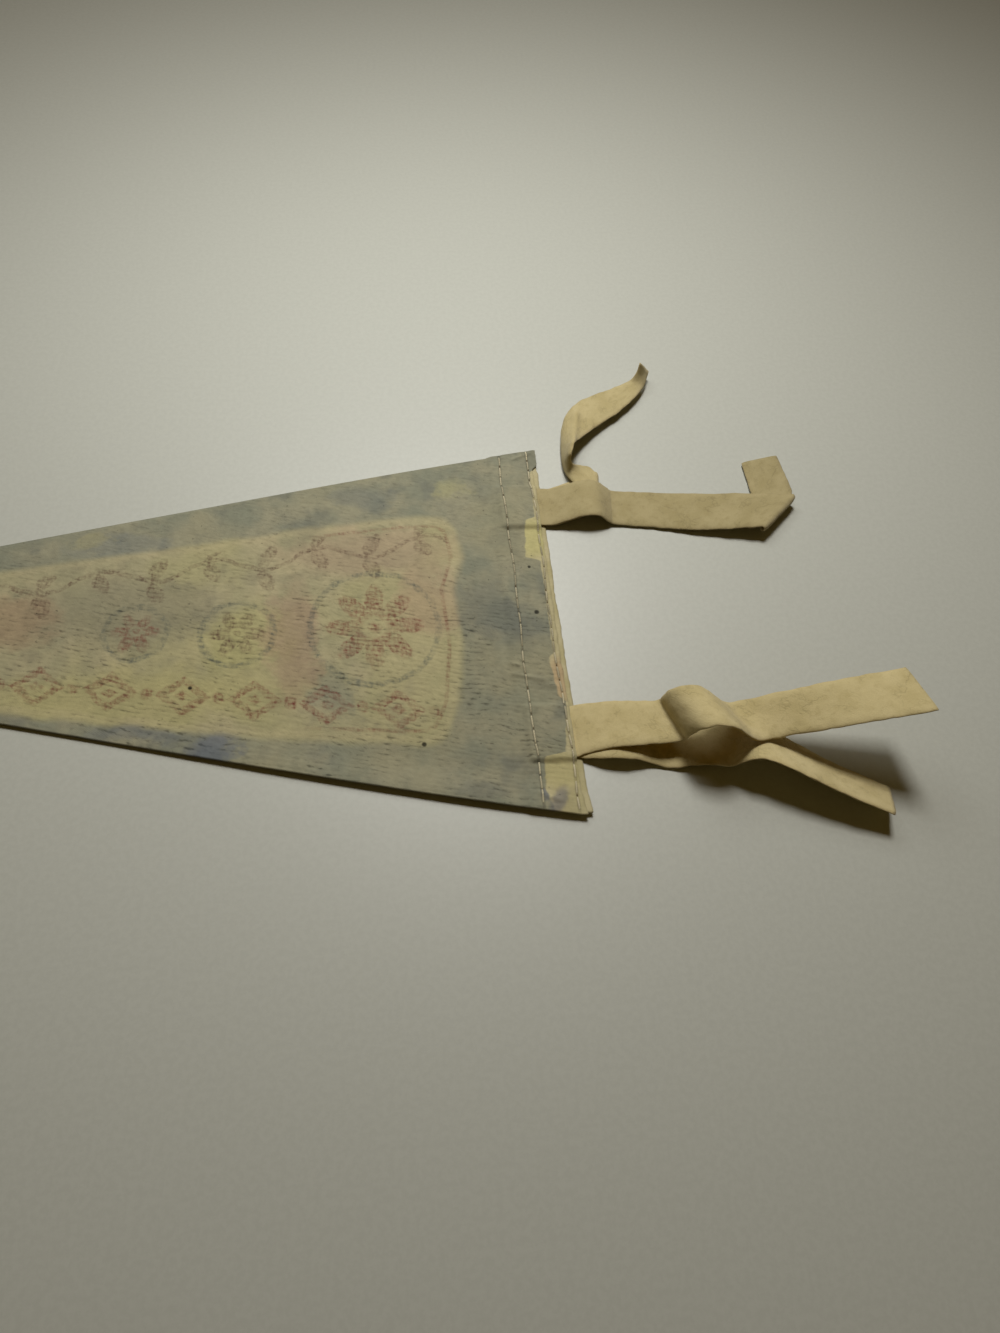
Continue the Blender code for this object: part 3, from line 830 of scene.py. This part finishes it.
def pennant_cloth(face, back):
    """The triangle, with a line of points every quarter rib."""
    lift = 1.0 / math.cos(EDGE_SLOPE)
    xs = np.linspace(-LENGTH, 0.0, 400)
    widths = (upper_edge(xs) - lower_edge(xs)) / lift
    tries = np.linspace(0.0, widths[-1], 2000)
    room = cloth_start(lower_edge(0.0) + tries * lift) - np.interp(tries, widths, xs)
    full = tries[room > 0.4][-1]
    ups = np.linspace(0.0, full, int(full / RIB_PITCH * ROWS_PER_RIB))
    near = np.linspace(0.0, NEAR_REACH, NEAR_COLUMNS)
    wanted = NEAR_REACH / NEAR_SHARE
    share = np.linspace(0.0, 1.0, FAR_COLUMNS + 1)[1:] ** 1.25
    grid_x = []
    for up in ups:
        start = cloth_start(lower_edge(0.0) + up * lift)
        length = start - np.interp(up, widths, xs)
        scale = min(1.0, length / wanted)
        first = near * scale
        rest = first[-1] + (length - first[-1]) * share
        grid_x.append(start - np.concatenate([first, rest]))
    x = np.array(grid_x)
    up = np.repeat(ups[:, None], x.shape[1], axis=1)
    y = lower_edge(x) + up * lift
    behind = heading_x(y) - x
    z = cloth_height(x, y)
    sway = relief(np.stack([x.ravel(), y.ravel() * 1.5, z.ravel() * 0.0], axis=1), 11.0, 8.0)
    rib = (up + RIB_SWAY * sway.reshape(up.shape)) / RIB_PITCH
    fray = relief(np.stack([x[:, 0], y[:, 0], z[:, 0]], axis=1), 1.7, 3.0) * 0.12
    x[:, 0] += fray
    uneven = relief(np.stack([x.ravel() * 0.4, y.ravel(), z.ravel() * 0.0], axis=1), 8.0, 21.0)
    strength = np.clip(0.6 + 0.9 * uneven.reshape(up.shape), 0.1, 1.1) * (1.0 - 0.6 * smooth(y / 30.0))
    ribs = RIB_HEIGHT * strength * np.cos(2 * np.pi * rib)
    thick = CLOTH_THICK / 2 + ribs * 0.5
    top = np.stack([x, y, z + thick + ribs * 0.5], axis=2)
    bottom = np.stack([x, y, z - CLOTH_THICK / 2], axis=2)
    attributes = [
        ("behind", behind),
        ("high", y),
        ("margin", behind - table_at(PRINT_EDGE, y)),
        ("field", inside_field(x, y, behind)),
        ("rib", rib),
        ("inner_row", behind - stitch_row(y, INNER_ROW)),
        ("outer_row", behind - stitch_row(y, OUTER_ROW)),
    ]
    return grid_sheet("pennant_cloth_ribbed", top, bottom, [back, face], attributes)


def heading_strip(look):
    """The strip behind the heading, its cut edges slightly uneven."""
    steps = np.linspace(0.0, 1.0, 220)
    shares = np.linspace(0.0, 1.0, 25)
    heights = HEADING_BOTTOM + (HEADING_TOP - HEADING_BOTTOM) * steps
    inner = -STRIP_WIDTH + 0.25 * wander(heights, 2.0, 9.0)
    outer = -0.15 + 0.8 * by_corner(heights) - 0.35 * smooth((heights - TOP_COVER) / 2.0)
    outer = outer + 0.22 * wander(heights, 9.0, 8.0) + 0.09 * wander(heights, 5.0, 1.1)
    edge = outer[:, None] + (inner - outer)[:, None] * shares
    low = lower_edge(edge + HEADING_LEAN) + STRIP_SHORTER
    high = upper_edge(edge - HEADING_LEAN) - STRIP_SHORTER
    y = low + (high - low) * steps[:, None]
    x = heading_x(y) + edge
    lift = edge_lift(x, y)
    dip = 0.1 * np.exp(-((heading_x(y) - x - stitch_row(y, OUTER_ROW)) / 0.5) ** 2)
    round_off = 0.12 * np.exp(-shares / 0.02)[None, :]
    top = np.stack([x, y, GROUND + STRIP_THICK - dip * 0.5 + lift - round_off], axis=2)
    bottom = np.stack([x, y, GROUND + lift + round_off * 0.6], axis=2)
    attributes = [("behind", heading_x(y) - x), ("up", y - HEADING_BOTTOM)]
    return grid_sheet("heading_strip_cotton", top, bottom, [look, look], attributes)


# ==== ties

FELT_CREASES = {"tie_upper_under_felt": (((7.3, 45.5), (10.4, 62.0), 1.1, 1.0),)}
RIBBON_STEP = 0.75
HALF_COLUMNS = 16
FOLD_STEPS = 12


def root_rows(tie_y, height):
    near = tie_y - TIE_WIDTH / 2
    far = tie_y + TIE_WIDTH / 2
    rows = []
    for depth in (ROOT_DEPTH, ROOT_DEPTH / 2, 1.0):
        rows.append((heading_x(near) - depth, near, height, heading_x(far) - depth, far, height))
    return rows


def through(rows):
    """Cross lines along a smooth curve through the given ones."""
    table = np.array(rows, float)
    ends = np.vstack([2 * table[0] - table[1], table, 2 * table[-1] - table[-2]])
    out = [table[0]]
    for i in range(len(table) - 1):
        p0, p1, p2, p3 = ends[i:i + 4]
        middle_gap = np.linalg.norm((p2 - p1)[:3] + (p2 - p1)[3:]) / 2
        steps = max(2, round(middle_gap / RIBBON_STEP))
        for k in range(1, steps + 1):
            t = k / steps
            curve = 2 * p1 + (p2 - p0) * t
            curve = curve + (2 * p0 - 5 * p1 + 4 * p2 - p3) * t ** 2
            curve = curve + (3 * p1 - p0 - 3 * p2 + p3) * t ** 3
            out.append(curve / 2)
    return out


def fold_rows(before, last, first):
    """Half a turn round the fold line, from the last cross line to the next layer's first."""
    line = last[3:5] - last[0:2]
    outward = np.array((line[1], -line[0])) / np.linalg.norm(line)
    travel = (last[0:2] + last[3:5]) - (before[0:2] + before[3:5])
    if np.dot(outward, travel) < 0:
        outward = -outward
    rows = []
    for k in range(1, FOLD_STEPS):
        angle = math.pi * k / FOLD_STEPS
        row = last + (first - last) * (1 - math.cos(angle)) / 2
        for at in (0, 3):
            radius = abs(first[at + 2] - last[at + 2]) / 2
            row[at:at + 2] = last[at:at + 2] + outward * radius * math.sin(angle)
        rows.append(row)
    return rows


def settle(rows, drop):
    """Lower the first stretch of a tie onto the thin heading."""
    for row in rows:
        for at in (0, 3):
            row[at + 2] -= drop * (1.0 - float(smooth((row[at] + 0.5) / 14.0)))
    return rows


def lifted_row(row):
    """A cross line with its near point lifted by the seventh value, in line with the camera."""
    if len(row) == 6:
        return row
    share = row[6] / (CAMERA_PLACE[2] - row[2])
    near = tuple(a + (b - a) * share for a, b in zip(row[:3], CAMERA_PLACE))
    return near + row[3:6]


def tie(name, tables, tie_y, solid_z, scene_z, seed, tint, painted_underside_shade, look):
    """A felt ribbon with soft edges, from its sewn root to its cut end."""
    tables = [[lifted_row(row) for row in table] for table in tables]
    rows = through(root_rows(tie_y, solid_z) + tables[0])
    for table in tables[1:]:
        following = through(table)
        rows += fold_rows(rows[-2], rows[-1], following[0]) + following
    rows = np.array(settle(rows, solid_z - scene_z))
    shares = (1 - np.cos(np.linspace(0.0, np.pi, HALF_COLUMNS + 1))) / 2
    near = rows[:, None, :3]
    far = rows[:, None, 3:]
    middle = near + (far - near) * shares[None, :, None]
    steps = np.linalg.norm(np.diff(middle[:, HALF_COLUMNS // 2], axis=0), axis=1)
    length = np.concatenate([[0.0], np.cumsum(steps)])
    sideways = (far - near) / np.linalg.norm(far - near, axis=2, keepdims=True)
    ragged = np.stack([wander(length, seed, 2.1), wander(length, seed + 40, 2.4)], axis=1) * 0.1
    middle = middle - sideways * ragged[:, :1, None] * (1 - shares)[None, :, None] ** 4
    middle = middle + sideways * ragged[:, 1:, None] * shares[None, :, None] ** 4
    normal = np.cross(np.gradient(middle, axis=0), np.gradient(middle, axis=1))
    normal /= np.linalg.norm(normal, axis=2, keepdims=True)
    pressed = smooth((rows[:, 0] + 3.0) / 7.0)
    thick = ROOT_THICK + (FELT_THICK - ROOT_THICK) * pressed
    section = np.sqrt(np.clip(1 - np.abs(2 * shares - 1) ** 7, 0, 1)) * 0.5
    half = (thick[:, None] * section[None, :])[:, :, None] * normal
    upper = middle + half
    lower = (middle - half)[:, 1:-1][:, ::-1]
    loop = np.concatenate([upper, lower], axis=1)
    count = loop.shape[1]
    flat = loop.reshape(-1, 3)
    outward = np.concatenate([normal, -normal[:, 1:-1][:, ::-1]], axis=1).reshape(-1, 3)
    nap = relief(flat, 1.6, seed) * 0.05 + relief(flat, 0.6, seed + 9) * 0.035
    rooted = np.repeat(pressed, count)
    flat = flat + outward * (nap * rooted)[:, None]
    for start, end, width, size in FELT_CREASES.get(name, ()):
        flat[:, 2] += size * ridge(flat[:, 0], flat[:, 1], start, end, width)
    flat[:, 2] = np.maximum(flat[:, 2], 0.02)
    faces = tube_faces(len(rows), count)
    for base, turned in ((0, False), ((len(rows) - 1) * count, True)):
        for j in range(HALF_COLUMNS):
            mates = [base + j, base + j + 1, base + (count - j - 1) % count, base + (count - j) % count]
            cap = list(dict.fromkeys(mates))
            faces.append(cap[::-1] if turned else cap)
    offset = np.concatenate([shares, shares[1:-1][::-1]])
    across = np.tile((offset - 0.5) * TIE_WIDTH, len(rows))
    # Where the underside is painted with the warm yellow shade
    under = np.tile(np.repeat([0.0, painted_underside_shade], [HALF_COLUMNS + 1, count - HALF_COLUMNS - 1]), len(rows))
    attributes = [
        ("across", across),
        ("length", np.repeat(length, count)),
        ("under", under),
        ("tint", np.full(len(flat), tint)),
    ]
    made = new_mesh(name, flat, faces, [look], attributes)
    return made, float(length[-1])


# ==== stitching

def thread_tube(path, radius, start):
    """Points, faces and attributes of a closed tube along a path."""
    path = np.array(path)
    along = np.gradient(path, axis=0)
    along /= np.linalg.norm(along, axis=1, keepdims=True)
    side = np.cross(along, (0.0, 0.0, 1.0))
    side /= np.linalg.norm(side, axis=1, keepdims=True)
    high = np.cross(side, along)
    angles = np.arange(SIDES) * math.tau / SIDES
    ring = np.cos(angles)[None, :, None] * side[:, None] + np.sin(angles)[None, :, None] * high[:, None]
    points = (path[:, None] + ring * radius).reshape(-1, 3)
    faces = tube_faces(len(path), SIDES, start, flip=True)
    faces.append([start + j for j in range(SIDES - 1, -1, -1)])
    last = start + (len(path) - 1) * SIDES
    faces.append([last + j for j in range(SIDES)])
    steps = np.concatenate([[0.0], np.cumsum(np.linalg.norm(np.diff(path, axis=0), axis=1))])
    return points, faces, np.repeat(steps, SIDES), np.tile(np.arange(SIDES) / SIDES, len(path))


def stitch_points(base, height_of, lift, seed):
    """Paths of the stitches of one row."""
    low = lower_edge(-base) + ROW_MARGIN
    high = upper_edge(0.0) - ROW_MARGIN
    count = int((high - low - STITCH_LENGTH) / STITCH_PITCH)
    paths = []
    for k in range(count + 1):
        start = low + k * STITCH_PITCH + 0.25 * math.sin(k * 2.3 + seed)
        length = STITCH_LENGTH + 0.2 * math.sin(k * 1.7 + seed)
        path = []
        for t in np.linspace(0.0, 1.0, 11):
            y = start + length * t
            x = heading_x(y) - stitch_row(y, base) + 0.1 * math.sin(k * 3.1 + seed) * (t - 0.5)
            arch = math.sin(math.pi * t) ** 0.5 if 0 < t < 1 else 0.0
            path.append((x, y, height_of(x, y) + lift * (arch * 1.35 - 0.75)))
        paths.append(path)
    return paths


def stitching(name, rows, look):
    """Rows of stitches as one mesh."""
    points, faces, lengths, arounds, darkness = [], [], [], [], []
    total = 0
    for paths in rows:
        for number, path in enumerate(paths):
            tube = thread_tube(path, THREAD_RADIUS, total)
            points.append(tube[0])
            faces += tube[1]
            lengths.append(tube[2])
            arounds.append(tube[3])
            # How much darker each stitch is painted, varying from stitch to stitch
            stitch_darkness = 0.5 - 0.3 * math.cos(number * 0.2) + 0.3 * math.sin(number * 2.4)
            darkness.append(np.full(len(tube[0]), min(max(stitch_darkness, 0.0), 1.0)))
            total += len(tube[0])
    attributes = [
        ("length", np.concatenate(lengths)),
        ("around", np.concatenate(arounds)),
        ("darkness", np.concatenate(darkness)),
    ]
    return new_mesh(name, np.concatenate(points), faces, [look], attributes)


def needle_holes(name, rows, height_of, look):
    """Small discs on the cloth at the ends of the stitches, painted dark as the shade in the needle holes."""
    points = []
    faces = []
    for paths in rows:
        for before, after in zip(paths, paths[1:]):
            x = (before[-1][0] + after[0][0]) / 2
            y = (before[-1][1] + after[0][1]) / 2
            start = len(points)
            for ring, (radius, lift) in enumerate(((0.08, 0.0), (0.19, 0.02), (0.27, -0.05))):
                for j in range(SIDES):
                    angle = j * math.tau / SIDES + ring * 0.2
                    px = x + radius * math.cos(angle) * 0.8
                    py = y + radius * math.sin(angle) * 1.2
                    points.append((px, py, height_of(px, py) + lift))
            faces.append([start + j for j in range(SIDES)])
            faces += tube_faces(3, SIDES, start)
    return new_mesh(name, np.array(points), faces, [look])


def cloth_top(x, y):
    return float(cloth_height(x, y)) + CLOTH_THICK / 2 + 0.02


# ==== surroundings

def table(look):
    """The pale floor that the pennant lies on."""
    bpy.ops.mesh.primitive_plane_add(size=6.0, location=(0.0, 0.0, 0.0))
    made = bpy.context.object
    made.name = "pale_table"
    made.data.materials.append(look)


def soft_light(name, where, width, depth, energy, colour):
    """An area light at a place in the pennant's frame, aimed at the pennant."""
    data = bpy.data.lights.new(name, "AREA")
    data.shape = "RECTANGLE"
    data.size = width * MM
    data.size_y = depth * MM
    data.energy = energy
    data.color = colour
    made = new_object(name, data)
    made.location = place(where)
    target = Vector(place((-30.0, 0.0, 0.0)))
    made.rotation_euler = (made.location - target).to_track_quat("Z", "Y").to_euler()


def surroundings():
    table(table_material())
    soft_light("main_light", (-2.0, 168.0, 350.0), 86.0, 86.0, 1.07, (1.0, 0.985, 0.96))
    soft_light("window_light", (-50.0, 140.0, 190.0), 150.0, 90.0, 0.16, (0.97, 1.0, 1.0))
    world = bpy.data.worlds.new("room")
    bpy.context.scene.world = world
    world.use_nodes = True
    background = world.node_tree.nodes["Background"]
    background.inputs["Color"].default_value = (1.0, 0.66, 0.17, 1.0)
    background.inputs["Strength"].default_value = 0.065
    bpy.context.scene.view_settings.view_transform = "Standard"


def camera():
    data = bpy.data.cameras.new("camera")
    data.lens = CAMERA_LENS
    data.sensor_width = 36.0
    data.clip_start = 0.01
    made = new_object("camera", data)
    made.location = place(CAMERA_PLACE)
    made.rotation_euler = Euler([math.radians(angle) for angle in CAMERA_TURN])
    bpy.context.scene.camera = made


# ==== pieces

def main():
    camera()
    surroundings()
    felt = felt_material()
    thread = thread_material()
    cloth = pennant_cloth(cloth_material("printed_face", 1.7), cloth_material("faded_back", 1.15))
    strip = heading_strip(strip_material())
    ties = []
    # The last number on each line sets how much the tie's underside is painted with the warm yellow shade
    for name, tables, tie_y, solid_z, scene_z, seed, tint, painted_underside_shade in (
        ("tie_upper_over", UPPER_OVER, UPPER_TIE_Y, SOLID_OVER_Z, OVER_Z, 3.0, 0.75, 0.0),
        ("tie_upper_under", UPPER_UNDER, UPPER_TIE_Y, SOLID_UNDER_Z, UNDER_Z, 17.0, 0.93, 0.0),
        ("tie_lower_over", LOWER_OVER, LOWER_TIE_Y, SOLID_OVER_Z, OVER_Z, 29.0, 1.07, 1.0),
        ("tie_lower_under", LOWER_UNDER, LOWER_TIE_Y, SOLID_UNDER_Z, UNDER_Z, 41.0, 1.07, 0.0),
    ):
        piece, length = tie(name + "_felt", tables, tie_y, solid_z, scene_z, seed, tint, painted_underside_shade, felt)
        ties.append((piece, name, length))
    inner = stitch_points(INNER_ROW, cloth_top, THREAD_RADIUS, 1.0)
    outer = stitch_points(OUTER_ROW, cloth_top, THREAD_RADIUS, 4.0)
    stitches = stitching("heading_stitches", (inner, outer), thread)
    holes = needle_holes("needle_holes", (inner, outer), cloth_top, hole_material())

    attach(cloth, "root")
    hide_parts("pennant_cloth")
    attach(strip, "root")
    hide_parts("heading_strip")
    for piece, name, length in ties:
        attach(piece, "root")
        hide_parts(name)
    for piece in (stitches, holes):
        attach(piece, "root")


main()
